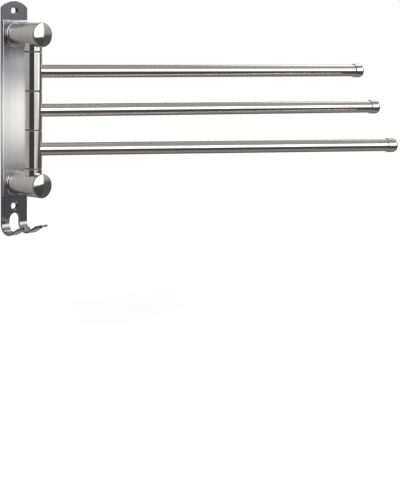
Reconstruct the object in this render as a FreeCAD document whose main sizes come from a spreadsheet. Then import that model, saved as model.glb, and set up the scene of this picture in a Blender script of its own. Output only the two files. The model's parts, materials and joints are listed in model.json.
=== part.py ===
import FreeCAD, Part
import math
import os
import Sketcher

# A wall rail with three swing arms, in millimetres.
#
# The wall is the plane Y = 0 and the rail stands out from it towards -Y, with +Z up. The origin is on
# the wall, in the middle between the two wall screws. A pressed plate carries two posts, a pivot rod
# stands between the posts, and three hubs turn on the rod, each with one bar. An arm that points
# straight out from the wall is at 0 degrees, and one that lies along +X is at 90 degrees.

# Name, value and meaning of every driving dimension.
SIZES = [
    ("plate_width", 30, "width of the wall plate"),
    ("gauge", 2, "thickness of the plate's sheet"),
    ("face_out", 3.5, "from the wall to the front of the plate's raised middle"),
    ("raised_height", 158, "height of the raised middle"),
    ("step_run", 1.5, "height of the sloping step at each end of the raised middle"),
    ("cavity_margin", 0.7, "how far the hollow behind the raised middle stops short of each step"),
    ("edge_round", 1.2, "rounding of the raised middle's long edges"),
    ("arch_top", 97.4, "from the origin to the top of the plate's arch"),
    ("arch_rise", 5.9, "height of the arch over its shoulders"),
    ("screw_spacing", 178, "distance between the wall screws"),
    ("screw_hole", 5, "diameter of a wall screw's hole"),
    ("screw_sink", 8.6, "diameter of its countersink"),
    ("slot_width", 12, "gap between the two prongs of the hook"),
    ("slot_drop", 95.5, "from the origin down to the top of the slot"),
    ("bend_drop", 104.5, "from the origin down to where the hook's bend starts"),
    ("bend_radius", 8, "inner radius of the hook's bend"),
    ("prong_rise", 28, "slope of the prongs, in degrees"),
    ("flare_rise", 13, "slope of the prongs' tips, in degrees"),
    ("flare_out", 24.5, "from the wall to where the tips flatten"),
    ("flare_run", 7.6, "length of the flattened tips"),
    ("tip_round", 3, "rounding of the tips' corners"),
    ("post_spacing", 135, "distance between the posts"),
    ("post_dia", 22, "diameter of a post"),
    ("post_length", 35.8, "length of a post without its cap"),
    ("neck_dia", 20, "diameter of the neck at a post's root"),
    ("neck_length", 2.7, "length of the neck"),
    ("post_chamfer", 0.5, "chamfer at both ends of a post's barrel"),
    ("ring_dia", 23.4, "diameter of the ring round a post's neck"),
    ("ring_thick", 1.3, "thickness of the ring"),
    ("ring_round", 1.2, "rounding of the ring's rim"),
    ("post_cap_edge", 1, "thickness of a post's cap at its rim"),
    ("post_cap_dome", 1.2, "how far the cap's face swells in the middle"),
    ("post_cap_round", 0.9, "rounding of the cap's rim"),
    ("post_cap_plug_dia", 12, "diameter of the cap's plug"),
    ("post_cap_plug", 5, "length of the cap's plug"),
    ("post_screw_dia", 6, "diameter of the screw that holds a post"),
    ("post_screw_head", 9.8, "diameter of its countersunk head"),
    ("post_screw_length", 15, "length of the screw, head and all"),
    ("post_screw_key", 4, "width of its six-sided socket across the flats"),
    ("post_screw_key_depth", 2, "depth of the socket"),
    ("axis_out", 27.5, "from the wall to the hinge axis"),
    ("rod_dia", 8, "diameter of the pivot rod"),
    ("rod_length", 140, "length of the pivot rod"),
    ("rod_chamfer", 0.6, "chamfer at the ends of the rod"),
    ("hub_dia", 16, "diameter of the hubs and of the collars"),
    ("hub_pitch", 35, "distance from one hub to the next"),
    ("hub_bore", 10.4, "bore of a hub"),
    ("hub_chamfer", 0.4, "chamfer of a hub's outer edges"),
    ("washer_dia", 15.2, "diameter of a washer"),
    ("washer_thick", 1.2, "thickness of a washer"),
    ("end_play", 0.1, "gap between a hub and each of its washers"),
    ("bush_length", 10, "length of a bush"),
    ("bush_clearance", 0.05, "gap all round between a bush and the rod"),
    ("bar_dia", 12, "outer diameter of a bar"),
    ("bar_wall", 1, "wall of a bar's tube"),
    ("bar_end", 344.5, "from the hinge axis to the end of a bar's tube"),
    ("root_plug_end", 24, "from the hinge axis to the end of a root plug"),
    ("spigot_dia", 6, "diameter of the root plug's spigot"),
    ("spigot_start", 5.6, "from the hinge axis to the spigot's inner end"),
    ("bar_cap_dia", 14, "diameter of a bar's cap"),
    ("bar_cap_length", 10.5, "length of a bar's cap"),
    ("bar_cap_round", 4.4, "rounding of the cap's nose"),
    ("bar_cap_plug", 9, "length of the cap's plug"),
    ("upper_turn", 68.6, "angle of the upper arm, in degrees"),
    ("middle_turn", 63.3, "angle of the middle arm, in degrees"),
    ("lower_turn", 56.8, "angle of the lower arm, in degrees"),
]

CUT_MARGIN = 20  # how far a cutting outline runs past what it cuts


class Size:
    """A number together with the sheet formula that gives it."""

    def __init__(self, number, formula):
        self.number = number
        self.formula = formula

    def joined(self, sign, other, number):
        text = other.formula if isinstance(other, Size) else repr(other)
        return Size(number, f"({self.formula} {sign} {text})")

    def __add__(self, other):
        return self.joined("+", other, self.number + plain(other))

    def __sub__(self, other):
        return self.joined("-", other, self.number - plain(other))

    def __mul__(self, other):
        return self.joined("*", other, self.number * plain(other))

    def __truediv__(self, other):
        return self.joined("/", other, self.number / plain(other))

    def __neg__(self):
        return Size(-self.number, f"(0 - {self.formula})")


def plain(value):
    """The number of a Size, or a number as it is."""
    return value.number if isinstance(value, Size) else value


def text_of(value):
    """The formula of a Size, or a number as text."""
    return value.formula if isinstance(value, Size) else repr(value)


def sine(angle):
    return Size(math.sin(math.radians(angle.number)), f"sin({angle.formula} * 1 deg)")


def cosine(angle):
    return Size(math.cos(math.radians(angle.number)), f"cos({angle.formula} * 1 deg)")


def make_sheet(doc):
    """Writes the driving dimensions into a sheet and returns them by name."""
    sheet = doc.addObject("Spreadsheet::Sheet", "Sizes")
    for row, (name, value, meaning) in enumerate(SIZES, start=1):
        sheet.set(f"A{row}", str(value))
        sheet.setAlias(f"A{row}", name)
        sheet.set(f"B{row}", meaning)
    doc.recompute()
    return {name: Size(value, f"Sizes.{name}") for name, value, _ in SIZES}


# ---------------------------------------------------------------- sketches and features


def new_body(doc, name):
    body = doc.addObject("PartDesign::Body", name)
    body.Label = name
    return body


def new_sketch(body, name, plane, lift=0):
    """A sketch on one of the body's own planes, raised by lift along the plane's normal."""
    sketch = body.newObject("Sketcher::SketchObject", f"{body.Label}_{name}")
    origin = [o for o in body.Origin.OriginFeatures if o.Role == plane]
    sketch.AttachmentSupport = [(origin[0], "")]
    sketch.MapMode = "FlatFace"
    if lift != 0:
        sketch.AttachmentOffset = FreeCAD.Placement(
            FreeCAD.Vector(0, 0, plain(lift)), FreeCAD.Rotation()
        )
        sketch.setExpression("AttachmentOffset.Base.z", text_of(lift))
    return sketch


def tie(sketch, kind, geometry, point, value):
    """Ties one coordinate of a point, DistanceX or DistanceY, to the sheet."""
    if plain(value) == 0:
        axis = -2 if kind == "DistanceX" else -1
        sketch.addConstraint(Sketcher.Constraint("PointOnObject", geometry, point, axis))
        return
    index = sketch.addConstraint(Sketcher.Constraint(kind, geometry, point, plain(value)))
    if isinstance(value, Size):
        sketch.setExpression(f"Constraints[{index}]", value.formula)


def arc_between(start, end, radius, turn):
    """The arc from start to end. turn is 1 for anticlockwise and -1 for clockwise."""
    chord = end - start
    half = chord.Length / 2
    across = FreeCAD.Vector(-chord.y, chord.x, 0).normalize()
    height = math.sqrt(max(radius * radius - half * half, 0))
    centre = (start + end) * 0.5 + across * (height * turn)
    middle = centre - across * (radius * turn)
    return Part.Arc(start, middle, end)


def add_outline(sketch, corners):
    """Draws a closed outline and ties every corner to the sheet.

    A corner is (x, y) where a straight side arrives, or (x, y, radius, turn) where an arc does.
    """
    spots = [FreeCAD.Vector(plain(c[0]), plain(c[1]), 0) for c in corners]
    count = len(corners)
    ends = []  # the geometry that arrives at each corner, and the number of its end point
    for i, corner in enumerate(corners):
        start, end = spots[i - 1], spots[i]
        if len(corner) == 2:
            side = sketch.addGeometry(Part.LineSegment(start, end))
            ends.append((side, 1, 2))
            continue
        radius, turn = corner[2], corner[3]
        side = sketch.addGeometry(arc_between(start, end, plain(radius), turn))
        ends.append((side, 1, 2) if turn > 0 else (side, 2, 1))
        index = sketch.addConstraint(Sketcher.Constraint("Radius", side, plain(radius)))
        if isinstance(radius, Size):
            sketch.setExpression(f"Constraints[{index}]", radius.formula)
    for i, corner in enumerate(corners):
        side, _, last = ends[i]
        after, first, _ = ends[(i + 1) % count]
        sketch.addConstraint(Sketcher.Constraint("Coincident", side, last, after, first))
        tie(sketch, "DistanceX", side, last, corner[0])
        tie(sketch, "DistanceY", side, last, corner[1])


def add_circle(sketch, x, y, radius):
    centre = FreeCAD.Vector(plain(x), plain(y), 0)
    ring = sketch.addGeometry(Part.Circle(centre, FreeCAD.Vector(0, 0, 1), plain(radius)))
    if plain(x) == 0 and plain(y) == 0:
        sketch.addConstraint(Sketcher.Constraint("Coincident", ring, 3, -1, 1))
    else:
        tie(sketch, "DistanceX", ring, 3, x)
        tie(sketch, "DistanceY", ring, 3, y)
    index = sketch.addConstraint(Sketcher.Constraint("Radius", ring, plain(radius)))
    if isinstance(radius, Size):
        sketch.setExpression(f"Constraints[{index}]", radius.formula)


def set_length(feature, length):
    feature.Length = plain(length)
    if isinstance(length, Size):
        feature.setExpression("Length", length.formula)


def pad(body, sketch, length, both_ways=False):
    feature = body.newObject("PartDesign::Pad", f"{sketch.Name}_pad")
    feature.Profile = sketch
    set_length(feature, length)
    if both_ways:
        feature.SideType = "Symmetric"
    return feature


def pocket(body, sketch, length, both_ways=False, along_normal=False):
    """A cut against the sketch's normal, along it, or half each way."""
    feature = body.newObject("PartDesign::Pocket", f"{sketch.Name}_cut")
    feature.Profile = sketch
    set_length(feature, length)
    feature.Reversed = along_normal
    if both_ways:
        feature.SideType = "Symmetric"
    return feature


def revolve(body, corners):
    """A turned solid: corners are (radius, height) round the body's Z axis."""
    sketch = new_sketch(body, "profile", "XZ_Plane")
    add_outline(sketch, corners)
    feature = body.newObject("PartDesign::Revolution", f"{body.Label}_turned")
    feature.Profile = sketch
    feature.ReferenceAxis = (sketch, ["V_Axis"])
    feature.Angle = 360
    return feature


def edges_of(feature, wanted):
    """The names of the feature's edges whose mid-point and length pass the test."""
    names = []
    for number, edge in enumerate(feature.Shape.Edges, start=1):
        middle = edge.valueAt((edge.FirstParameter + edge.LastParameter) / 2)
        if wanted(middle, edge):
            names.append(f"Edge{number}")
    if not names:
        raise ValueError(f"no edge to dress on {feature.Name}")
    return names


def dress(doc, body, kind, name, wanted, size):
    """A Fillet or Chamfer of the given size on the body's edges that pass the test."""
    doc.recompute()
    base = body.Tip
    names = edges_of(base, wanted)
    feature = body.newObject(f"PartDesign::{kind}", f"{body.Label}_{name}")
    feature.Base = (base, names)
    setting = "Radius" if kind == "Fillet" else "Size"
    setattr(feature, setting, size.number)
    feature.setExpression(setting, size.formula)
    doc.recompute()
    return feature


def cut_volume(doc, body, feature, before):
    """Stops if a cut took nothing away, which happens when it points out of the solid."""
    doc.recompute()
    if feature.Shape.Volume > before - 0.01:
        raise ValueError(f"{feature.Name} cuts nothing from {body.Label}")


def place(body, x, y, z, turns):
    """Puts a body at x, y, z, turned by the given product of rotations."""
    spot = f"vector({text_of(x)}; {text_of(y)}; {text_of(z)})"
    body.setExpression("Placement", f"placement({spot}; {turns})")


def on_circle(radius, height, slack=0.01):
    """A test for edges that are a full circle of this radius round Z at this height."""

    def test(middle, edge):
        distance = math.hypot(middle.x, middle.y)
        return abs(distance - radius) < slack and abs(middle.z - height) < slack

    return test


UPRIGHT = "rotationz(0)"
OUTWARD = "rotationx(90)"  # turns the body's Z axis to point out of the wall


# ---------------------------------------------------------------- the wall plate


def hook_outline(s):
    """The side view of the hook, from the plate's bottom edge to the tips."""
    drop = -s["bend_drop"]
    inner = s["bend_radius"]
    outer = inner + s["gauge"]
    half = s["gauge"] / 2
    rise, flare = s["prong_rise"], s["flare_rise"]
    centre_y = -outer

    # where the bend ends, on the sheet's middle line
    run_y = centre_y - (inner + half) * sine(rise)
    run_z = drop - (inner + half) * cosine(rise)

    # where the tips flatten, and where they end
    flat_y = -s["flare_out"]
    flat_z = run_z + (run_y - flat_y) * sine(rise) / cosine(rise)
    tip_y = flat_y - s["flare_run"] * cosine(flare)
    tip_z = flat_z + s["flare_run"] * sine(flare)

    # the mitre at the flattening
    mean = (rise + flare) / 2
    half_change = (rise - flare) / 2
    mitre = half / cosine(half_change)

    def above(y, z, slope, reach):
        return (y + reach * sine(slope), z + reach * cosine(slope))

    def below(y, z, slope, reach):
        return (y - reach * sine(slope), z - reach * cosine(slope))

    under = below(run_y, run_z, rise, half)
    over = above(run_y, run_z, rise, half)
    return [
        (Size(0, "0"), drop),
        (under[0], under[1], outer, -1),
        below(flat_y, flat_z, mean, mitre),
        below(tip_y, tip_z, flare, half),
        above(tip_y, tip_z, flare, half),
        above(flat_y, flat_z, mean, mitre),
        over,
        (-s["gauge"], drop, inner, 1),
    ]


def make_back_plate(doc, s):
    """The pressed sheet: flat tabs, raised middle, screw holes, slot and forked hook."""
    body = new_body(doc, "back_plate")
    half = s["plate_width"] / 2
    shoulder = s["arch_top"] - s["arch_rise"]
    arch_radius = (half * half + s["arch_rise"] * s["arch_rise"]) / (s["arch_rise"] * 2)

    # the flat sheet, arched at the top
    sheet = new_sketch(body, "outline", "XZ_Plane")
    add_outline(
        sheet,
        [
            (-half, -s["bend_drop"]),
            (half, -s["bend_drop"]),
            (half, shoulder),
            (-half, shoulder, arch_radius, 1),
        ],
    )
    pad(body, sheet, s["gauge"])

    # the raised middle, with a sloping step at each end
    raised = s["raised_height"] / 2
    foot = raised + s["step_run"]
    middle = new_sketch(body, "raised", "YZ_Plane")
    zero = Size(0, "0")
    add_outline(
        middle,
        [
            (zero, -foot),
            (zero, foot),
            (-s["gauge"], foot),
            (-s["face_out"], raised),
            (-s["face_out"], -raised),
            (-s["gauge"], -foot),
        ],
    )
    pad(body, middle, s["plate_width"], both_ways=True)

    # the hook, as wide as the plate until the slot parts it
    hook = new_sketch(body, "hook", "YZ_Plane")
    add_outline(hook, hook_outline(s))
    pad(body, hook, s["plate_width"], both_ways=True)

    # the rounded long edges of the raised middle
    front, side = s["face_out"].number, half.number
    dress(
        doc,
        body,
        "Fillet",
        "edge_round",
        lambda p, e: abs(abs(p.x) - side) < 0.01 and abs(p.y + front) < 0.01 and e.Length > 50,
        s["edge_round"],
    )

    # the hollow behind the raised middle
    depth = s["face_out"] - s["gauge"]
    mouth = foot - s["cavity_margin"]
    floor = raised - s["cavity_margin"]
    hollow = new_sketch(body, "hollow", "YZ_Plane")
    add_outline(hollow, [(zero, mouth), (-depth, floor), (-depth, -floor), (zero, -mouth)])
    before = body.Tip.Shape.Volume
    cut = pocket(body, hollow, s["plate_width"] - s["gauge"] * 2, both_ways=True)
    cut_volume(doc, body, cut, before)

    # the slot: round at the top and open at the tips, so that it leaves two prongs
    slot = new_sketch(body, "slot", "XZ_Plane")
    slot_half = s["slot_width"] / 2
    slot_shoulder = -s["slot_drop"] - slot_half
    open_end = -s["bend_drop"] - CUT_MARGIN
    add_outline(
        slot,
        [
            (-slot_half, open_end),
            (slot_half, open_end),
            (slot_half, slot_shoulder),
            (zero, -s["slot_drop"], slot_half, 1),
            (-slot_half, slot_shoulder, slot_half, 1),
        ],
    )
    before = body.Tip.Shape.Volume
    cut = pocket(body, slot, s["flare_out"] * 4, both_ways=True)
    cut_volume(doc, body, cut, before)

    # countersunk holes: two for the wall screws from the front, two for the post screws from behind
    sink_holes(doc, body, s, "wall", s["screw_spacing"], s["screw_hole"], s["screw_sink"], True)
    sink_holes(doc, body, s, "post", s["post_spacing"], s["post_screw_dia"], s["post_screw_head"], False)

    # the corners of the prongs' tips
    reach = s["flare_out"].number + s["flare_run"].number / 2
    dress(
        doc,
        body,
        "Fillet",
        "tip_round",
        lambda p, e: -p.y > reach and abs(e.Length - s["gauge"].number) < 0.01 and is_upright(e),
        s["tip_round"],
    )
    return body


def is_upright(edge):
    """Whether an edge runs through the sheet's thickness and not along or across a prong."""
    start, end = edge.Vertexes[0].Point, edge.Vertexes[-1].Point
    return abs(start.x - end.x) < 0.01


def sink_holes(doc, body, s, name, spacing, hole, sink, from_front):
    """Two countersunk holes, spacing apart. The cone opens to the front or to the back."""
    sheet_back = Size(0, "0") if from_front else s["face_out"] - s["gauge"]
    sheet_front = sheet_back + s["gauge"]
    depth = (sink - hole) / 2
    if from_front:
        near, far = sheet_front, sheet_front - depth
    else:
        near, far = sheet_back, sheet_back + depth
    for side, height in (("upper", spacing / 2), ("lower", -(spacing / 2))):
        label = f"{name}_{side}"
        drill = new_sketch(body, f"{label}_drill", "XZ_Plane")
        add_circle(drill, 0, height, hole / 2)
        before = body.Tip.Shape.Volume
        cut = pocket(body, drill, s["face_out"] * 4, both_ways=True)
        cut_volume(doc, body, cut, before)

        cone = new_sketch(body, f"{label}_cone", "YZ_Plane")
        add_outline(
            cone,
            [
                (-near, height),
                (-near, height + sink / 2),
                (-far, height + hole / 2),
                (-far, height),
            ],
        )
        before = body.Tip.Shape.Volume
        groove = body.newObject("PartDesign::Groove", f"{body.Label}_{label}_sink")
        groove.Profile = cone
        groove.ReferenceAxis = (cone, ["Edge1"])
        groove.Angle = 360
        cut_volume(doc, body, groove, before)


# ---------------------------------------------------------------- the posts


def make_post(doc, s, name, height, turns):
    """A turned post: thread for its screw behind, plug bore in front, cross hole for the rod."""
    body = new_body(doc, name)
    barrel, neck = s["post_dia"] / 2, s["neck_dia"] / 2
    thread = s["post_screw_dia"] / 2
    bore = s["post_cap_plug_dia"] / 2
    screw_tip = s["post_screw_length"] - s["gauge"]
    bore_floor = s["post_length"] - s["post_cap_plug"]
    chamfer = s["post_chamfer"]
    zero = Size(0, "0")
    revolve(
        body,
        [
            (thread, zero),
            (neck, zero),
            (neck, s["neck_length"]),
            (barrel - chamfer, s["neck_length"]),
            (barrel, s["neck_length"] + chamfer),
            (barrel, s["post_length"] - chamfer),
            (barrel - chamfer, s["post_length"]),
            (bore, s["post_length"]),
            (bore, bore_floor),
            (zero, bore_floor),
            (zero, screw_tip),
            (thread, screw_tip),
        ],
    )
    doc.recompute()

    # the blind cross hole for the end of the pivot rod
    past_centre = (s["rod_length"] - s["post_spacing"]) / 2
    cross = new_sketch(body, "cross", "XZ_Plane", lift=-past_centre)
    add_circle(cross, 0, s["axis_out"] - s["face_out"], s["rod_dia"] / 2)
    before = body.Tip.Shape.Volume
    cut = pocket(body, cross, s["post_dia"], along_normal=True)
    cut_volume(doc, body, cut, before)
    place(body, 0, -s["face_out"], height, turns)
    return body


def make_base_ring(doc, s, name, height):
    """The thin ring round a post's neck, against the plate."""
    body = new_body(doc, name)
    inner, outer = s["neck_dia"] / 2, s["ring_dia"] / 2
    zero = Size(0, "0")
    revolve(body, [(inner, zero), (outer, zero), (outer, s["ring_thick"]), (inner, s["ring_thick"])])
    rim = on_circle(outer.number, s["ring_thick"].number)
    dress(doc, body, "Fillet", "rim", rim, s["ring_round"])
    place(body, 0, -s["face_out"], height, OUTWARD)
    return body


def make_post_cap(doc, s, name, height):
    """The polished front of a post: a slightly domed disc on a plug."""
    body = new_body(doc, name)
    rim, plug = s["post_dia"] / 2, s["post_cap_plug_dia"] / 2
    edge, dome = s["post_cap_edge"], s["post_cap_dome"]
    dome_radius = (rim * rim + dome * dome) / (dome * 2)
    zero = Size(0, "0")
    revolve(
        body,
        [
            (zero, -s["post_cap_plug"]),
            (plug, -s["post_cap_plug"]),
            (plug, zero),
            (rim, zero),
            (rim, edge),
            (zero, edge + dome, dome_radius, 1),
        ],
    )
    dress(doc, body, "Fillet", "rim", on_circle(rim.number, edge.number), s["post_cap_round"])
    place(body, 0, -(s["face_out"] + s["post_length"]), height, OUTWARD)
    return body


def make_post_screw(doc, s, name, height):
    """The countersunk screw that holds a post from behind the plate."""
    body = new_body(doc, name)
    shank, head = s["post_screw_dia"] / 2, s["post_screw_head"] / 2
    zero = Size(0, "0")
    revolve(
        body,
        [
            (zero, zero),
            (head, zero),
            (shank, head - shank),
            (shank, s["post_screw_length"]),
            (zero, s["post_screw_length"]),
        ],
    )
    doc.recompute()

    # the six-sided socket, opening towards the wall
    corner = s["post_screw_key"] / 2 / Size(math.cos(math.pi / 6), "cos(30 deg)")
    flat = s["post_screw_key"] / 2
    socket = new_sketch(body, "socket", "XY_Plane")
    add_outline(
        socket,
        [
            (corner, zero),
            (corner / 2, flat),
            (-(corner / 2), flat),
            (-corner, zero),
            (-(corner / 2), -flat),
            (corner / 2, -flat),
        ],
    )
    before = body.Tip.Shape.Volume
    cut = pocket(body, socket, s["post_screw_key_depth"], along_normal=True)
    cut_volume(doc, body, cut, before)
    place(body, 0, -(s["face_out"] - s["gauge"]), height, OUTWARD)
    return body


# ---------------------------------------------------------------- the pivot


def make_pivot_rod(doc, s):
    """The steel rod that stands between the posts and carries the hubs."""
    body = new_body(doc, "pivot_rod")
    radius, half = s["rod_dia"] / 2, s["rod_length"] / 2
    chamfer = s["rod_chamfer"]
    zero = Size(0, "0")
    revolve(
        body,
        [
            (zero, -half),
            (radius - chamfer, -half),
            (radius, -half + chamfer),
            (radius, half - chamfer),
            (radius - chamfer, half),
            (zero, half),
        ],
    )
    place(body, 0, -s["axis_out"], 0, UPRIGHT)
    return body


def make_collar(doc, s, name, side):
    """The short fixed sleeve between a post and the outermost washer, scooped to fit the post."""
    body = new_body(doc, name)
    inner, outer = s["rod_dia"] / 2, s["hub_dia"] / 2
    start = s["hub_pitch"] * 1.5 + s["washer_thick"] / 2
    to_post = s["post_spacing"] / 2 - start
    zero = Size(0, "0")
    revolve(body, [(inner, zero), (outer, zero), (outer, to_post), (inner, to_post)])
    doc.recompute()
    scoop = new_sketch(body, "scoop", "XZ_Plane")
    add_circle(scoop, 0, to_post, s["post_dia"] / 2)
    before = body.Tip.Shape.Volume
    cut = pocket(body, scoop, s["hub_dia"] * 2, both_ways=True)
    cut_volume(doc, body, cut, before)
    edge = on_circle(outer.number, 0)
    dress(doc, body, "Chamfer", "edge", edge, s["hub_chamfer"])
    if side > 0:
        place(body, 0, -s["axis_out"], start, UPRIGHT)
    else:
        place(body, 0, -s["axis_out"], -start, "rotationx(180)")
    return body


def make_washer(doc, s, number):
    """One of the four thin washers that the hubs turn between, counted from the top."""
    body = new_body(doc, f"thrust_washer_{number}")
    inner, outer = s["rod_dia"] / 2, s["washer_dia"] / 2
    half = s["washer_thick"] / 2
    revolve(body, [(inner, -half), (outer, -half), (outer, half), (inner, half)])
    place(body, 0, -s["axis_out"], s["hub_pitch"] * (2.5 - number), UPRIGHT)
    return body


def make_hub(doc, s, name, height, turn):
    """The sleeve that carries one bar, with a hole in its side for the bar's spigot."""
    body = new_body(doc, name)
    inner, outer = s["hub_bore"] / 2, s["hub_dia"] / 2
    half = (s["hub_pitch"] - s["washer_thick"]) / 2 - s["end_play"]
    revolve(body, [(inner, -half), (outer, -half), (outer, half), (inner, half)])

    def ends(middle, edge):
        radius = math.hypot(middle.x, middle.y)
        return abs(radius - outer.number) < 0.01 and abs(abs(middle.z) - half.number) < 0.01

    dress(doc, body, "Chamfer", "edges", ends, s["hub_chamfer"])
    side_hole = new_sketch(body, "side_hole", "XZ_Plane")
    add_circle(side_hole, 0, 0, s["spigot_dia"] / 2)
    before = body.Tip.Shape.Volume
    cut = pocket(body, side_hole, s["hub_dia"], along_normal=True)
    cut_volume(doc, body, cut, before)
    place(body, 0, -s["axis_out"], height, f"rotationz({turn.formula})")
    return body


def make_bush(doc, s, name, height, side, turn):
    """A plain sleeve pressed into one end of a hub, running on the rod."""
    body = new_body(doc, name)
    inner = s["rod_dia"] / 2 + s["bush_clearance"]
    outer = s["hub_bore"] / 2
    hub_half = (s["hub_pitch"] - s["washer_thick"]) / 2 - s["end_play"]
    half = s["bush_length"] / 2
    revolve(body, [(inner, -half), (outer, -half), (outer, half), (inner, half)])
    place(body, 0, -s["axis_out"], height + (hub_half - half) * side, f"rotationz({turn.formula})")
    return body


# ---------------------------------------------------------------- the bars


def cope(doc, body, s):
    """Scoops the end of a bar or plug to the round of its hub."""
    doc.recompute()
    sketch = new_sketch(body, "cope", "XY_Plane")
    add_circle(sketch, 0, 0, s["hub_dia"] / 2)
    before = body.Tip.Shape.Volume
    cut = pocket(body, sketch, s["bar_dia"] * 2, both_ways=True)
    cut_volume(doc, body, cut, before)


def make_bar(doc, s, name, height, turn):
    """The straight tube that reaches out from a hub."""
    body = new_body(doc, name)
    start = s["hub_dia"] / 4
    tube = new_sketch(body, "tube", "XZ_Plane", lift=start)
    add_circle(tube, 0, 0, s["bar_dia"] / 2)
    add_circle(tube, 0, 0, s["bar_dia"] / 2 - s["bar_wall"])
    pad(body, tube, s["bar_end"] - start)
    cope(doc, body, s)
    place(body, 0, -s["axis_out"], height, f"rotationz({turn.formula})")
    return body


def make_root_plug(doc, s, name, height, turn):
    """The solid plug inside a bar's root, with the spigot that goes into the hub."""
    body = new_body(doc, name)
    start = s["hub_dia"] / 4
    plug = new_sketch(body, "plug", "XZ_Plane", lift=start)
    add_circle(plug, 0, 0, s["bar_dia"] / 2 - s["bar_wall"])
    pad(body, plug, s["root_plug_end"] - start)
    cope(doc, body, s)
    spigot = new_sketch(body, "spigot", "XZ_Plane", lift=s["spigot_start"])
    add_circle(spigot, 0, 0, s["spigot_dia"] / 2)
    pad(body, spigot, s["hub_dia"] / 2)
    place(body, 0, -s["axis_out"], height, f"rotationz({turn.formula})")
    return body


def make_bar_cap(doc, s, name, height, turn):
    """The round-nosed cap at the end of a bar, on a plug that goes into the tube."""
    body = new_body(doc, name)
    rim, plug = s["bar_cap_dia"] / 2, s["bar_dia"] / 2 - s["bar_wall"]
    nose = s["bar_cap_length"]
    zero = Size(0, "0")
    revolve(
        body,
        [
            (zero, -s["bar_cap_plug"]),
            (plug, -s["bar_cap_plug"]),
            (plug, zero),
            (rim, zero),
            (rim, nose - s["bar_cap_round"]),
            (rim - s["bar_cap_round"], nose, s["bar_cap_round"], 1),
            (zero, nose),
        ],
    )
    reach_x = s["bar_end"] * sine(turn)
    reach_y = -s["axis_out"] - s["bar_end"] * cosine(turn)
    place(body, reach_x, reach_y, height, f"rotationz({turn.formula}) * rotationx(90)")
    return body


# ---------------------------------------------------------------- the whole rail


def make_arm(doc, s, name, height, turn):
    return [
        make_hub(doc, s, f"{name}_hub", height, turn),
        make_bush(doc, s, f"{name}_hub_top_bush", height, 1, turn),
        make_bush(doc, s, f"{name}_hub_bottom_bush", height, -1, turn),
        make_bar(doc, s, f"{name}_bar", height, turn),
        make_root_plug(doc, s, f"{name}_bar_root_plug", height, turn),
        make_bar_cap(doc, s, f"{name}_bar_cap", height, turn),
    ]


def make_rail(doc):
    s = make_sheet(doc)
    pieces = [make_back_plate(doc, s), make_pivot_rod(doc, s)]
    half_spacing = s["post_spacing"] / 2
    # the lower post is the same turned part, rolled over so that its cross hole faces up
    for name, height, side, turns in (
        ("upper", half_spacing, 1, OUTWARD),
        ("lower", -half_spacing, -1, f"{OUTWARD} * rotationz(180)"),
    ):
        pieces.append(make_post(doc, s, f"{name}_post", height, turns))
        pieces.append(make_base_ring(doc, s, f"{name}_base_ring", height))
        pieces.append(make_post_cap(doc, s, f"{name}_post_cap", height))
        pieces.append(make_post_screw(doc, s, f"{name}_post_screw", height))
        pieces.append(make_collar(doc, s, f"{name}_collar", side))
    for number in (1, 2, 3, 4):
        pieces.append(make_washer(doc, s, number))
    for name, steps in (("upper", 1), ("middle", 0), ("lower", -1)):
        pieces += make_arm(doc, s, name, s["hub_pitch"] * steps, s[f"{name}_turn"])
    return pieces


def check(doc, pieces):
    """Stops before anything is written if any object failed or any piece isn't one sound solid."""
    for thing in doc.Objects:
        if "Invalid" in thing.State or "Error" in thing.State:
            raise ValueError(f"{thing.Label} failed: {thing.State}")
    for piece in pieces:
        shape = piece.Shape
        if shape.isNull() or not shape.isValid() or len(shape.Solids) != 1:
            raise ValueError(f"{piece.Label} isn't one sound solid")


def main():
    doc = FreeCAD.newDocument("swing_arm_rail")
    pieces = make_rail(doc)
    doc.recompute()
    check(doc, pieces)
    os.makedirs("parts", exist_ok=True)
    for piece in pieces:
        piece.Shape.exportStep(f"parts/{piece.Label}.step")
        print(f"{piece.Label}: {piece.Shape.Volume:.1f} mm3")
    print(f"{len(pieces)} pieces")


main()
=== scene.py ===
import json
import math

import bpy
import numpy as np
from mathutils import Matrix, Vector


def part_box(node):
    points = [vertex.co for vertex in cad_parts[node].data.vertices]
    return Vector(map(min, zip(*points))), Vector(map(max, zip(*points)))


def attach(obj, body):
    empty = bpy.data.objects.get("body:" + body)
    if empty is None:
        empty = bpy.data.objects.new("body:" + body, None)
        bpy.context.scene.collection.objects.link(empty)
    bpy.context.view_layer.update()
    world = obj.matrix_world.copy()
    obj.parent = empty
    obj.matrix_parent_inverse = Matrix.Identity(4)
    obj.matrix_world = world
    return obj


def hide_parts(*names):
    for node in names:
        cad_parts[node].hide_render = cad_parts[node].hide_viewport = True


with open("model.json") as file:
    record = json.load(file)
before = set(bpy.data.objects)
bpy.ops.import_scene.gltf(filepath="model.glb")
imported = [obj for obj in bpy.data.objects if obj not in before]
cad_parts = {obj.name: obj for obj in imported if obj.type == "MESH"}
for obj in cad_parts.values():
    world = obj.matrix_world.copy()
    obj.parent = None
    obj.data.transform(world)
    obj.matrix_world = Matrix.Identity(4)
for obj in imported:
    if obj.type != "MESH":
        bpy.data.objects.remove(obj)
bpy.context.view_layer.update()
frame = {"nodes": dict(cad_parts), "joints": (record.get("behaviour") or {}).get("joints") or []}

bl_info = {
    "name": "Swing Arm Towel Bar",
    "version": (1, 0, 0),
    "blender": (4, 5, 0),
    "location": "View3D > Sidebar > Towel Bar",
    "description": "Finishes the steel of a wall rail with swing arms and sets up its studio",
    "category": "Object",
}

MM = 0.001
ARMS = ("upper", "middle", "lower")
POSTS = ("upper", "lower")


# ---------------------------------------------------------------- nodes


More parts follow.
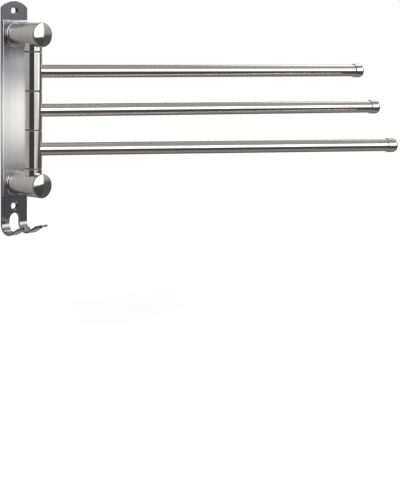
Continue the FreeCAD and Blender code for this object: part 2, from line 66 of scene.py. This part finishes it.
def node(tree, kind, inputs=None, **settings):
    """A new node. An input is given by name or number, as a value or as another node's socket."""
    made = tree.nodes.new(kind)
    for name, value in settings.items():
        setattr(made, name, value)
    for name, value in (inputs or {}).items():
        if isinstance(value, bpy.types.NodeSocket):
            tree.links.new(value, made.inputs[name])
        else:
            made.inputs[name].default_value = value
    return made


def calc(tree, operation, *values):
    """The output of a Math node on one, two or three numbers or sockets."""
    return node(tree, "ShaderNodeMath", dict(enumerate(values)), operation=operation).outputs[0]


def ramp(tree, value, low, high, smooth=True):
    """0 up to low, 1 from high on, and an even or smooth rise between. low may be above high."""
    kind = "SMOOTHSTEP" if smooth else "LINEAR"
    inputs = {"Value": value, "From Min": low, "From Max": high}
    return node(tree, "ShaderNodeMapRange", inputs, interpolation_type=kind).outputs["Result"]


def blend(tree, mask, below, above):
    """below where the mask is 0 and above where it is 1, as colours."""
    mix = node(tree, "ShaderNodeMix", {0: mask, 6: below, 7: above}, data_type="RGBA")
    return mix.outputs[2]


def new_group(name, inputs, outputs):
    """An empty node group with named number or vector sockets, and its two end nodes."""
    tree = bpy.data.node_groups.new(name, "ShaderNodeTree")
    for label, kind in inputs.items():
        tree.interface.new_socket(label, in_out="INPUT", socket_type=f"NodeSocket{kind}")
    for label, kind in outputs.items():
        tree.interface.new_socket(label, in_out="OUTPUT", socket_type=f"NodeSocket{kind}")
    return tree, tree.nodes.new("NodeGroupInput").outputs, tree.nodes.new("NodeGroupOutput").inputs


def use_group(tree, name, inputs):
    """A node that runs the named group."""
    made = tree.nodes.new("ShaderNodeGroup")
    made.node_tree = bpy.data.node_groups[name]
    for label, value in inputs.items():
        if isinstance(value, bpy.types.NodeSocket):
            tree.links.new(value, made.inputs[label])
        else:
            made.inputs[label].default_value = value
    return made.outputs


# ---------------------------------------------------------------- shared effects


def make_grain_group():
    """Fine parallel scratches: noise drawn out along one axis of the coordinates it is given."""
    tree, given, out = new_group(
        "Steel Grain",
        {"Vector": "Vector", "Depth": "Float"},
        {"Scratches": "Float", "Cloud": "Float", "Height": "Float"},
    )
    fine = node(tree, "ShaderNodeTexNoise", {"Vector": given["Vector"], "Scale": 1.0, "Detail": 3.0})
    wide_place = node(
        tree, "ShaderNodeVectorMath", {0: given["Vector"], 1: (0.13, 0.13, 0.13)}, operation="MULTIPLY"
    )
    wide = node(tree, "ShaderNodeTexNoise", {"Vector": wide_place.outputs[0], "Scale": 1.0, "Detail": 2.0})
    scratches = ramp(tree, fine.outputs["Fac"], 0.3, 0.7)
    cloud = ramp(tree, wide.outputs["Fac"], 0.3, 0.7)
    both = calc(tree, "ADD", scratches, calc(tree, "MULTIPLY", cloud, 0.5))
    tree.links.new(scratches, out["Scratches"])
    tree.links.new(cloud, out["Cloud"])
    tree.links.new(calc(tree, "MULTIPLY", both, given["Depth"]), out["Height"])


def make_card_group():
    """A soft-edged card of light in the studio, by azimuth and elevation in degrees.

    The mask is 1 inside the card. Each edge is a smooth rise of the given width, centred on the
    card's side. The bottom edge climbs by Lean degrees for each degree of azimuth.
    """
    names = (
        "Azimuth", "Elevation", "Left", "Right", "Bottom", "Top",
        "Side Edge", "Bottom Edge", "Top Edge", "Lean",
    )
    tree, given, out = new_group("Light Card", {n: "Float" for n in names}, {"Mask": "Float"})

    def side(value, place, edge, rising):
        half = calc(tree, "MULTIPLY", edge, 0.5 if rising else -0.5)
        return ramp(tree, value, calc(tree, "SUBTRACT", place, half), calc(tree, "ADD", place, half))

    lean = calc(tree, "MULTIPLY", given["Azimuth"], given["Lean"])
    level = calc(tree, "SUBTRACT", given["Elevation"], lean)
    across = calc(
        tree,
        "MULTIPLY",
        side(given["Azimuth"], given["Left"], given["Side Edge"], True),
        side(given["Azimuth"], given["Right"], given["Side Edge"], False),
    )
    along = calc(
        tree,
        "MULTIPLY",
        side(level, given["Bottom"], given["Bottom Edge"], True),
        side(given["Elevation"], given["Top"], given["Top Edge"], False),
    )
    tree.links.new(calc(tree, "MULTIPLY", across, along), out["Mask"])


# ---------------------------------------------------------------- finishes


def new_material(name):
    """A material whose Principled shader is wired to its output."""
    material = bpy.data.materials.new(name)
    material.use_nodes = True
    tree = material.node_tree
    tree.nodes.clear()
    shader = tree.nodes.new("ShaderNodeBsdfPrincipled")
    output = tree.nodes.new("ShaderNodeOutputMaterial")
    tree.links.new(shader.outputs[0], output.inputs["Surface"])
    return material, tree, shader


def steel(name, colour, roughness, spread, grain_scale, depth, place=(0, 0, 0), turn=0.0):
    """Bare steel with fine scratches.

    grain_scale is how many scratches a metre holds along X, Y and Z once the pattern is moved to
    place and turned round Z. The roughness runs from roughness to roughness + spread.
    """
    material, tree, shader = new_material(name)
    spot = node(tree, "ShaderNodeTexCoord").outputs["Object"]
    own = node(
        tree,
        "ShaderNodeMapping",
        {"Vector": spot, "Location": place, "Rotation": (0, 0, turn)},
        vector_type="TEXTURE",
    ).outputs[0]
    drawn = node(tree, "ShaderNodeVectorMath", {0: own, 1: grain_scale}, operation="MULTIPLY").outputs[0]
    grain = use_group(tree, "Steel Grain", {"Vector": drawn, "Depth": depth})
    rough = node(
        tree,
        "ShaderNodeMapRange",
        {"Value": grain["Scratches"], "To Min": roughness, "To Max": roughness + spread},
    )
    dark = tuple(c * 0.94 for c in colour[:3]) + (1.0,)
    tint = blend(tree, grain["Cloud"], dark, tuple(colour[:3]) + (1.0,))
    bump = node(tree, "ShaderNodeBump", {"Height": grain["Height"], "Strength": 1.0, "Distance": MM})
    tree.links.new(tint, shader.inputs["Base Color"])
    tree.links.new(rough.outputs["Result"], shader.inputs["Roughness"])
    tree.links.new(bump.outputs["Normal"], shader.inputs["Normal"])
    shader.inputs["Metallic"].default_value = 1.0
    return material


def nylon(name, colour):
    """Dull dark moulded nylon with a fine pebble."""
    material, tree, shader = new_material(name)
    spot = node(tree, "ShaderNodeTexCoord").outputs["Object"]
    pebble = node(tree, "ShaderNodeTexNoise", {"Vector": spot, "Scale": 2500.0, "Detail": 2.0})
    bump = node(
        tree, "ShaderNodeBump", {"Height": pebble.outputs["Fac"], "Strength": 0.4, "Distance": 0.03 * MM}
    )
    rough = node(tree, "ShaderNodeMapRange", {"Value": pebble.outputs["Fac"], "To Min": 0.42, "To Max": 0.6})
    light = tuple(c * 1.3 for c in colour[:3]) + (1.0,)
    tint = blend(tree, pebble.outputs["Fac"], tuple(colour[:3]) + (1.0,), light)
    tree.links.new(tint, shader.inputs["Base Color"])
    tree.links.new(rough.outputs["Result"], shader.inputs["Roughness"])
    tree.links.new(bump.outputs["Normal"], shader.inputs["Normal"])
    return material


def plate_steel(name, colour, end_colour, satin, polish):
    """Stainless sheet: a satin middle with painted light, fading into polish with painted shade towards the
    posts.

    The painted light is at its full 3 mm below the plate's middle, and fades out over 66 mm upwards and
    over 82 mm downwards. It takes the colour from the darker end colour to the pale middle colour,
    and there the steel is less of a metal and its grain deeper. Its roughness rises towards the middle,
    and its side towards -X has a little painted shade. The cut edges have painted shade,
    and the ends of the prongs most of all. Above the hook's bend, the face is shaded as if turned a
    little towards +X.
    """
    material, tree, shader = new_material(name)
    place = node(tree, "ShaderNodeTexCoord").outputs
    x, y, z = node(tree, "ShaderNodeSeparateXYZ", {0: place["Object"]}).outputs
    # Painted light: a pale pool of colour in the plate's middle, fading to darker painted shade at the ends
    # and tabs; the same mask lowers the metallic and deepens the grain.
    peak = -3 * MM
    fade_up = ramp(tree, z, peak + 66 * MM, peak)
    fade_down = ramp(tree, z, peak - 82 * MM, peak)
    painted_light_middle = calc(tree, "MINIMUM", fade_up, fade_down)
    drawn = node(
        tree, "ShaderNodeVectorMath", {0: place["Object"], 1: (2600, 2600, 30)}, operation="MULTIPLY"
    ).outputs[0]
    depth = node(
        tree, "ShaderNodeMapRange", {"Value": painted_light_middle, "To Min": 0.0003 * MM, "To Max": 0.0012 * MM}
    ).outputs["Result"]
    grain = use_group(tree, "Steel Grain", {"Vector": drawn, "Depth": depth})
    dull = ramp(tree, calc(tree, "ABSOLUTE", z), 62 * MM, 30 * MM)
    rough = node(tree, "ShaderNodeMapRange", {"Value": dull, "To Min": polish, "To Max": satin})
    streaked = calc(tree, "MULTIPLY_ADD", grain["Scratches"], 0.03, rough.outputs["Result"])
    pale = blend(tree, painted_light_middle, (*end_colour, 1.0), (*colour, 1.0))
    sideways, outward, _ = node(tree, "ShaderNodeSeparateXYZ", {0: place["Normal"]}).outputs
    # Painted shade: the cut edges are darkened to half, and the far ends of the prongs by 0.72.
    cut = ramp(tree, calc(tree, "ABSOLUTE", sideways), 0.75, 0.98)
    far = ramp(tree, y, -20 * MM, -24 * MM)
    prong_end = calc(tree, "MULTIPLY", far, ramp(tree, outward, -0.2, -0.5))
    painted_edge_shade = calc(tree, "MAXIMUM", calc(tree, "MULTIPLY", cut, 0.5), calc(tree, "MULTIPLY", prong_end, 0.72))
    cloudy = calc(tree, "MULTIPLY_ADD", grain["Cloud"], 0.08, 0.94)
    # Painted shade: the middle's side towards -X is darkened by up to a fifth.
    painted_shade_left = calc(tree, "MULTIPLY", painted_light_middle, ramp(tree, x, 0.0, -15 * MM))
    edge_shaded_tone = calc(tree, "MULTIPLY", cloudy, calc(tree, "SUBTRACT", 1.0, painted_edge_shade))
    shade = calc(tree, "MULTIPLY", edge_shaded_tone, calc(tree, "MULTIPLY_ADD", painted_shade_left, -0.2, 1.0))
    tint = node(tree, "ShaderNodeVectorMath", {0: pale, 3: shade}, operation="SCALE").outputs[0]
    lean = calc(tree, "MULTIPLY", ramp(tree, z, -105 * MM, -97 * MM), 0.07)
    push = node(tree, "ShaderNodeCombineXYZ", {"X": lean}).outputs[0]
    facing = node(tree, "ShaderNodeNewGeometry").outputs["Normal"]
    pushed = node(tree, "ShaderNodeVectorMath", {0: facing, 1: push}, operation="ADD").outputs[0]
    turned_face = node(tree, "ShaderNodeVectorMath", {0: pushed}, operation="NORMALIZE").outputs[0]
    bump = node(
        tree,
        "ShaderNodeBump",
        {"Height": grain["Height"], "Strength": 1.0, "Distance": 1.0, "Normal": turned_face},
    )
    tree.links.new(tint, shader.inputs["Base Color"])
    tree.links.new(streaked, shader.inputs["Roughness"])
    tree.links.new(bump.outputs["Normal"], shader.inputs["Normal"])
    tree.links.new(calc(tree, "MULTIPLY_ADD", painted_light_middle, -0.75, 1.0), shader.inputs["Metallic"])
    return material


def cap_section(rim, edge, dome, rounding, plug_radius, plug_length):
    """Half the section of a post's cap: how far from the axis and how far out from the cap's seat.

    The face is part of a sphere that swells by dome over the rim, and an arc of the given rounding
    meets both the sphere and the straight rim. The plug is a cylinder behind the seat.
    """
    ball = (rim * rim + dome * dome) / (2 * dome)
    centre = edge + dome - ball
    nose = math.asin((rim - rounding) / (ball - rounding))
    roll = centre + (ball - rounding) * math.cos(nose)
    swell = np.linspace(0.0, nose, 48)
    turn = np.linspace(nose, math.pi / 2, 20)[1:]
    radius = np.concatenate(
        (ball * np.sin(swell), rim - rounding + rounding * np.sin(turn), (rim, plug_radius, plug_radius, 0))
    )
    out = np.concatenate(
        (centre + ball * np.cos(swell), roll + rounding * np.cos(turn), (0, 0, -plug_length, -plug_length))
    )
    return radius, out


def turned(name, radius, out, seat, material, sides=160):
    """A turned piece: a half section carried round an axis that points out of the wall through seat.

    A point of the section at radius r and out o goes, for the angle a, to X = r cos a, Z = r sin a and
    Y = -o from the seat. The first and the last point are on the axis and are one vertex each.
    """
    angle = np.arange(sides) * (2 * math.pi / sides)
    rings = len(radius) - 2
    points = np.empty((rings, sides, 3))
    points[:, :, 0] = radius[1:-1, None] * np.cos(angle)
    points[:, :, 1] = -out[1:-1, None]
    points[:, :, 2] = radius[1:-1, None] * np.sin(angle)
    poles = np.array([(0.0, -out[0], 0.0), (0.0, -out[-1], 0.0)])
    spots = np.concatenate((points.reshape(-1, 3), poles)) + np.array(seat)
    here = np.arange(sides)
    after = (here + 1) % sides
    row = (np.arange(rings - 1) * sides)[:, None]
    quads = np.stack((row + here, row + sides + here, row + sides + after, row + after), axis=-1)
    first, last = rings * sides, rings * sides + 1
    front = np.stack((np.full(sides, first), here, after), axis=-1)
    end = (rings - 1) * sides
    back = np.stack((np.full(sides, last), end + after, end + here), axis=-1)
    mesh = bpy.data.meshes.new(name)
    mesh.from_pydata(spots.tolist(), [], quads.reshape(-1, 4).tolist() + front.tolist() + back.tolist())
    mesh.shade_smooth()
    mesh.set_sharp_from_angle(angle=math.radians(40))
    mesh.materials.append(material)
    piece = bpy.data.objects.new(name, mesh)
    bpy.context.scene.collection.objects.link(piece)
    return piece


def dress(names, material):
    """Gives the named pieces this material."""
    for name in names:
        piece = frame["nodes"][name]
        piece.data.materials.clear()
        piece.data.materials.append(material)


# ---------------------------------------------------------------- settings


def colour_setting(label, words, value):
    return bpy.props.FloatVectorProperty(
        name=label, description=words, subtype="COLOR", size=3, min=0, max=1, default=value
    )


def share_setting(label, words, value, most=1.0):
    return bpy.props.FloatProperty(name=label, description=words, default=value, min=0, max=most)


class FinishSettings(bpy.types.PropertyGroup):
    """Colours and roughness of the steel and the nylon."""

    # The plate's middle colour and end colour paint a pool of light in its middle and shade at its ends and
    # tabs.
    plate_colour: colour_setting("Plate", "Middle of the wall plate", (0.97, 0.97, 0.965))
    plate_end_colour: colour_setting("Plate ends", "Ends and tabs of the wall plate", (0.52, 0.53, 0.56))
    plate_satin: share_setting("Plate satin", "Roughness of the middle of the wall plate", 0.5)
    plate_polish: share_setting("Plate polish", "Roughness of the wall plate's ends", 0.14)
    post_colour: colour_setting("Posts", "Satin steel of the posts", (0.72, 0.71, 0.69))
    post_roughness: share_setting("Post roughness", "Satin of the posts", 0.24)
    polish_colour: colour_setting("Polished steel", "Bars, hubs, collars and caps", (0.78, 0.775, 0.77))
    polish_roughness: share_setting("Polish roughness", "Polish of hubs, collars and post caps", 0.05)
    bar_roughness: share_setting("Bar roughness", "Polish of the bars and their caps", 0.1)
    rod_colour: colour_setting("Rod", "Ground steel of the pivot rod and plugs", (0.62, 0.62, 0.63))
    screw_colour: colour_setting("Screws", "Plated steel of the post screws", (0.60, 0.60, 0.62))
    nylon_colour: colour_setting("Nylon", "Washers and bushes", (0.05, 0.05, 0.052))


class StudioSettings(bpy.types.PropertyGroup):
    """Where the camera stands, and how bright the studio is."""

    camera_place: bpy.props.FloatVectorProperty(
        name="Camera", description="Where the camera stands", subtype="XYZ", unit="LENGTH",
        size=3, precision=4, default=(-0.75366, -0.88090, 0.07274),
    )
    yaw: bpy.props.FloatProperty(
        name="Yaw", description="Turn of the view from the wall's normal towards +X",
        subtype="ANGLE", default=math.radians(49.02),
    )
    pitch: bpy.props.FloatProperty(
        name="Pitch", description="How far the view looks down", subtype="ANGLE", default=math.radians(5.52)
    )
    roll: bpy.props.FloatProperty(
        name="Roll", description="How far the camera leans over", subtype="ANGLE", default=math.radians(0.82)
    )
    lens: bpy.props.FloatProperty(
        name="Lens", description="Focal length for a 36 mm long side", subtype="DISTANCE_CAMERA", default=90.0
    )
    horizon_shift: bpy.props.FloatProperty(
        name="Shift", description="How far the frame is moved down, as a share of its height", default=0.1964
    )
    floor_drop: bpy.props.FloatProperty(
        name="Floor", description="Depth of the floor below the origin", subtype="DISTANCE", default=0.3
    )
    lamp_power: bpy.props.FloatProperty(
        name="Lamp", description="Strength of the soft front lamp", default=3.1, min=0
    )


# ---------------------------------------------------------------- the pieces


class TOWELBAR_OT_wall_plate(bpy.types.Operator):
    """Finish the wall plate and its hook"""

    bl_idname = "towelbar.wall_plate"
    bl_label = "Wall Plate"

    def execute(self, context):
        finish = context.scene.towelbar_finish
        material = plate_steel(
            "Plate Steel", finish.plate_colour, finish.plate_end_colour, finish.plate_satin,
            finish.plate_polish,
        )
        dress(["back_plate"], material)
        return {"FINISHED"}


class TOWELBAR_OT_posts(bpy.types.Operator):
    """Finish the posts, their rings and screws, and turn their caps"""

    bl_idname = "towelbar.posts"
    bl_label = "Posts"

    def execute(self, context):
        finish = context.scene.towelbar_finish
        satin = steel("Post Steel", finish.post_colour, finish.post_roughness, 0.05, (120, 3000, 120), 0.0001)
        polish = steel(
            "Cap Steel", finish.polish_colour, finish.polish_roughness, 0.03, (900, 900, 900), 0.0002
        )
        plated = steel("Screw Steel", finish.screw_colour, 0.30, 0.1, (800, 800, 800), 0.002)
        dress([f"{post}_post" for post in POSTS], satin)
        dress([f"{post}_base_ring" for post in POSTS], polish)
        plug = 5 * MM
        radius, out = cap_section(
            rim=11 * MM, edge=1 * MM, dome=1.2 * MM, rounding=0.9 * MM, plug_radius=6 * MM, plug_length=plug
        )
        for post in POSTS:
            low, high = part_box(f"{post}_post_cap")
            middle = (low + high) / 2
            seat = (middle.x, high.y - plug, middle.z)
            cap = turned(f"{post}_turned_cap", radius, out, seat, polish)
            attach(cap, "wall_bracket")
            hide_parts(f"{post}_post_cap")
        dress([f"{post}_post_screw" for post in POSTS], plated)
        return {"FINISHED"}


class TOWELBAR_OT_pivot(bpy.types.Operator):
    """Finish the pivot rod, the collars, the washers and the bushes"""

    bl_idname = "towelbar.pivot"
    bl_label = "Pivot"

    def execute(self, context):
        finish = context.scene.towelbar_finish
        ground = steel("Rod Steel", finish.rod_colour, 0.22, 0.1, (150, 150, 5000), 0.002)
        polish = steel(
            "Sleeve Steel", finish.polish_colour, finish.polish_roughness, 0.04, (150, 150, 3000), 0.0003
        )
        dark = nylon("Dark Nylon", finish.nylon_colour)
        dress(["pivot_rod"], ground)
        dress([f"{post}_collar" for post in POSTS] + [f"{arm}_hub" for arm in ARMS], polish)
        dress([f"thrust_washer_{number}" for number in (1, 2, 3, 4)], dark)
        dress([f"{arm}_hub_{end}_bush" for arm in ARMS for end in ("top", "bottom")], dark)
        return {"FINISHED"}


class TOWELBAR_OT_arms(bpy.types.Operator):
    """Finish the bars, their plugs and their caps"""

    bl_idname = "towelbar.arms"
    bl_label = "Swing Arms"

    def execute(self, context):
        finish = context.scene.towelbar_finish
        for arm in ARMS:
            low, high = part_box(f"{arm}_bar_cap")
            tip = (low + high) / 2
            hinge = next(j["pos_m"] for j in frame["joints"] if j["child"] == f"{arm}_arm")
            turn = math.atan2(tip.y - hinge[1], tip.x - hinge[0])
            tube = steel(
                f"Bar Steel {arm}", finish.polish_colour, finish.bar_roughness, 0.03,
                (60, 2500, 2500), 0.0004, tuple(hinge), turn,
            )
            dress([f"{arm}_bar", f"{arm}_bar_cap", f"{arm}_bar_root_plug"], tube)
        return {"FINISHED"}


# ---------------------------------------------------------------- the studio

# Cards of light, painted one over the other on the studio's white dome. Azimuth 0 is straight out of
# the wall and 90 is along +X. Each has its left, right, bottom and top in degrees, the widths of its
# side, bottom and top edges, how far its bottom edge leans, and its colour.
CARDS = {
    "room behind": (-400, -98, -400, 400, 14, 1, 1, 0, (0.54, 0.535, 0.515)),
    "room behind, far side": (165, 400, -400, 400, 14, 1, 1, 0, (0.54, 0.535, 0.515)),
    "room behind, low": (-400, 400, -400, -4, 14, 1, 60, 0, (0.34, 0.33, 0.31)),
    "behind, low": (84, 180, -400, -4, 8, 1, 8, 0, (0.40, 0.385, 0.36)),
    "front": (-98, 88, -400, 400, 8, 1, 1, 0, (0.37, 0.36, 0.35)),
    "front, low": (-98, 88, -400, -1.5, 8, 1, 10, 0, (0.075, 0.068, 0.067)),
    "flag left": (-90, -29, -400, 60, 12, 1, 10, 0, (0.060, 0.054, 0.053)),
    "card right": (42, 88, 16, 34, 2, 30, 6, 0, (0.76, 0.79, 0.82)),
    "flag right": (42, 76, -400, 0, 2, 1, 6, 0, (0.105, 0.105, 0.11)),
    "softbox": (-29, 42, -6.6, 31, 2.5, 3, 5, 0.085, (0.80, 0.80, 0.79)),
    "softbox core": (-29, 42, 2.2, 30, 2.5, 10, 5, 0.085, (2.45, 2.45, 2.43)),
    "glint": (18, 40, -5.5, 31, 4, 3, 5, 0.085, (1.9, 1.9, 1.88)),
    "underneath": (-400, 400, -400, -46, 1, 1, 8, 0, (0.29, 0.258, 0.24)),
    "ceiling, far side": (86, 170, 28, 400, 6, 8, 1, 0, (0.27, 0.25, 0.24)),
    "ceiling": (-400, 400, 50, 400, 1, 10, 1, 0, (0.39, 0.365, 0.35)),
    "high window": (86, 108, 42, 56, 4, 4, 4, 0, (2.4, 2.4, 2.4)),
    "pit": (92, 122, -400, -43, 4, 1, 5, 0, (0.08, 0.075, 0.072)),
}


def make_dome():
    """The world: a white background, and the cards of light that shiny surfaces see in front of it."""
    world = bpy.data.worlds.new("Studio Dome")
    bpy.context.scene.world = world
    world.use_nodes = True
    tree = world.node_tree
    tree.nodes.clear()
    way = node(tree, "ShaderNodeTexCoord").outputs["Generated"]
    x, y, z = node(tree, "ShaderNodeSeparateXYZ", {0: way}).outputs
    azimuth = calc(tree, "DEGREES", calc(tree, "ARCTAN2", x, calc(tree, "MULTIPLY", y, -1.0)))
    elevation = calc(tree, "DEGREES", calc(tree, "ARCSINE", z))
    white = (1.0, 1.0, 1.0, 1.0)
    picture = white
    for left, right, bottom, top, side_edge, bottom_edge, top_edge, lean, colour in CARDS.values():
        inputs = {
            "Azimuth": azimuth, "Elevation": elevation,
            "Left": left, "Right": right, "Bottom": bottom, "Top": top,
            "Side Edge": side_edge, "Bottom Edge": bottom_edge, "Top Edge": top_edge, "Lean": lean,
        }
        mask = use_group(tree, "Light Card", inputs)["Mask"]
        picture = blend(tree, mask, picture, (*colour, 1.0))
    ray = node(tree, "ShaderNodeLightPath").outputs
    shiny = calc(tree, "MAXIMUM", ray["Is Glossy Ray"], ray["Is Transmission Ray"])
    studio = blend(tree, shiny, (0.62, 0.62, 0.62, 1.0), picture)
    seen = blend(tree, ray["Is Camera Ray"], studio, white)
    background = node(tree, "ShaderNodeBackground", {"Color": seen, "Strength": 1.0})
    output = node(tree, "ShaderNodeOutputWorld")
    tree.links.new(background.outputs[0], output.inputs["Surface"])


def make_floor(drop):
    """A plain pale floor that is nearly white to the camera and still takes the object's shadow."""
    material = bpy.data.materials.new("Studio Floor")
    material.use_nodes = True
    tree = material.node_tree
    tree.nodes.clear()
    matt = node(tree, "ShaderNodeBsdfDiffuse", {"Color": (0.9, 0.9, 0.9, 1.0)})
    ray = node(tree, "ShaderNodeLightPath").outputs
    lift = calc(tree, "MULTIPLY", ray["Is Camera Ray"], 0.14)
    glow = node(tree, "ShaderNodeEmission", {"Color": (1.0, 1.0, 1.0, 1.0), "Strength": lift})
    both = node(tree, "ShaderNodeAddShader", {0: matt.outputs[0], 1: glow.outputs[0]})
    output = node(tree, "ShaderNodeOutputMaterial")
    tree.links.new(both.outputs[0], output.inputs["Surface"])
    reach = 6.0
    mesh = bpy.data.meshes.new("studio_floor")
    corners = [(-reach, -reach, -drop), (reach, -reach, -drop), (reach, reach, -drop), (-reach, reach, -drop)]
    mesh.from_pydata(corners, [], [(0, 1, 2, 3)])
    mesh.materials.append(material)
    floor = bpy.data.objects.new("studio_floor", mesh)
    bpy.context.scene.collection.objects.link(floor)
    floor.visible_glossy = False


def make_camera(studio):
    """The camera at the place and angle from which the object is shown."""
    yaw, pitch = studio.yaw, studio.pitch
    ahead = Vector(
        (math.sin(yaw) * math.cos(pitch), math.cos(yaw) * math.cos(pitch), -math.sin(pitch))
    )
    level = Vector((math.cos(yaw), -math.sin(yaw), 0.0))
    upright = level.cross(ahead)
    right = level * math.cos(studio.roll) + upright * math.sin(studio.roll)
    up = upright * math.cos(studio.roll) - level * math.sin(studio.roll)
    data = bpy.data.cameras.new("camera")
    data.sensor_fit = "AUTO"
    data.sensor_width = 36.0
    data.lens = studio.lens
    data.shift_y = -studio.horizon_shift
    data.clip_start, data.clip_end = 0.01, 50.0
    camera = bpy.data.objects.new("camera", data)
    turn = Matrix((right, up, -ahead)).transposed()
    camera.matrix_world = Matrix.Translation(studio.camera_place) @ turn.to_4x4()
    bpy.context.scene.collection.objects.link(camera)
    bpy.context.scene.camera = camera


def make_lamp(power):
    """A large soft lamp in front of the wall, to the left of the object and above it."""
    data = bpy.data.lights.new("front_lamp", "SUN")
    data.energy = power
    data.angle = math.radians(24.0)
    lamp = bpy.data.objects.new("front_lamp", data)
    towards = Vector((1.0, 0.85, -0.6))
    lamp.matrix_world = towards.to_track_quat("-Z", "Y").to_matrix().to_4x4()
    lamp.visible_glossy = False
    bpy.context.scene.collection.objects.link(lamp)


class TOWELBAR_OT_studio(bpy.types.Operator):
    """Set up the floor, the dome, the lamp and the camera"""

    bl_idname = "towelbar.studio"
    bl_label = "Studio"

    def execute(self, context):
        studio = context.scene.towelbar_studio
        make_dome()
        make_floor(studio.floor_drop)
        make_lamp(studio.lamp_power)
        make_camera(studio)
        context.scene.view_settings.view_transform = "Standard"
        return {"FINISHED"}


# ---------------------------------------------------------------- the panel


class TOWELBAR_PT_panel(bpy.types.Panel):
    """The towel bar's settings and steps"""

    bl_idname = "TOWELBAR_PT_panel"
    bl_label = "Towel Bar"
    bl_space_type = "VIEW_3D"
    bl_region_type = "UI"
    bl_category = "Towel Bar"

    def draw(self, context):
        column = self.layout.column()
        for settings in (context.scene.towelbar_finish, context.scene.towelbar_studio):
            for name in settings.__annotations__:
                column.prop(settings, name)
        for step in STEPS:
            column.operator(step.bl_idname)


STEPS = (
    TOWELBAR_OT_wall_plate,
    TOWELBAR_OT_posts,
    TOWELBAR_OT_pivot,
    TOWELBAR_OT_arms,
    TOWELBAR_OT_studio,
)
CLASSES = (FinishSettings, StudioSettings, *STEPS, TOWELBAR_PT_panel)


def register():
    for cls in CLASSES:
        bpy.utils.register_class(cls)
    bpy.types.Scene.towelbar_finish = bpy.props.PointerProperty(type=FinishSettings)
    bpy.types.Scene.towelbar_studio = bpy.props.PointerProperty(type=StudioSettings)


def unregister():
    del bpy.types.Scene.towelbar_studio
    del bpy.types.Scene.towelbar_finish
    for cls in reversed(CLASSES):
        bpy.utils.unregister_class(cls)


def main():
    register()
    make_grain_group()
    make_card_group()
    bpy.ops.towelbar.wall_plate()
    bpy.ops.towelbar.posts()
    bpy.ops.towelbar.pivot()
    bpy.ops.towelbar.arms()
    bpy.ops.towelbar.studio()


if __name__ == "__main__":
    main()
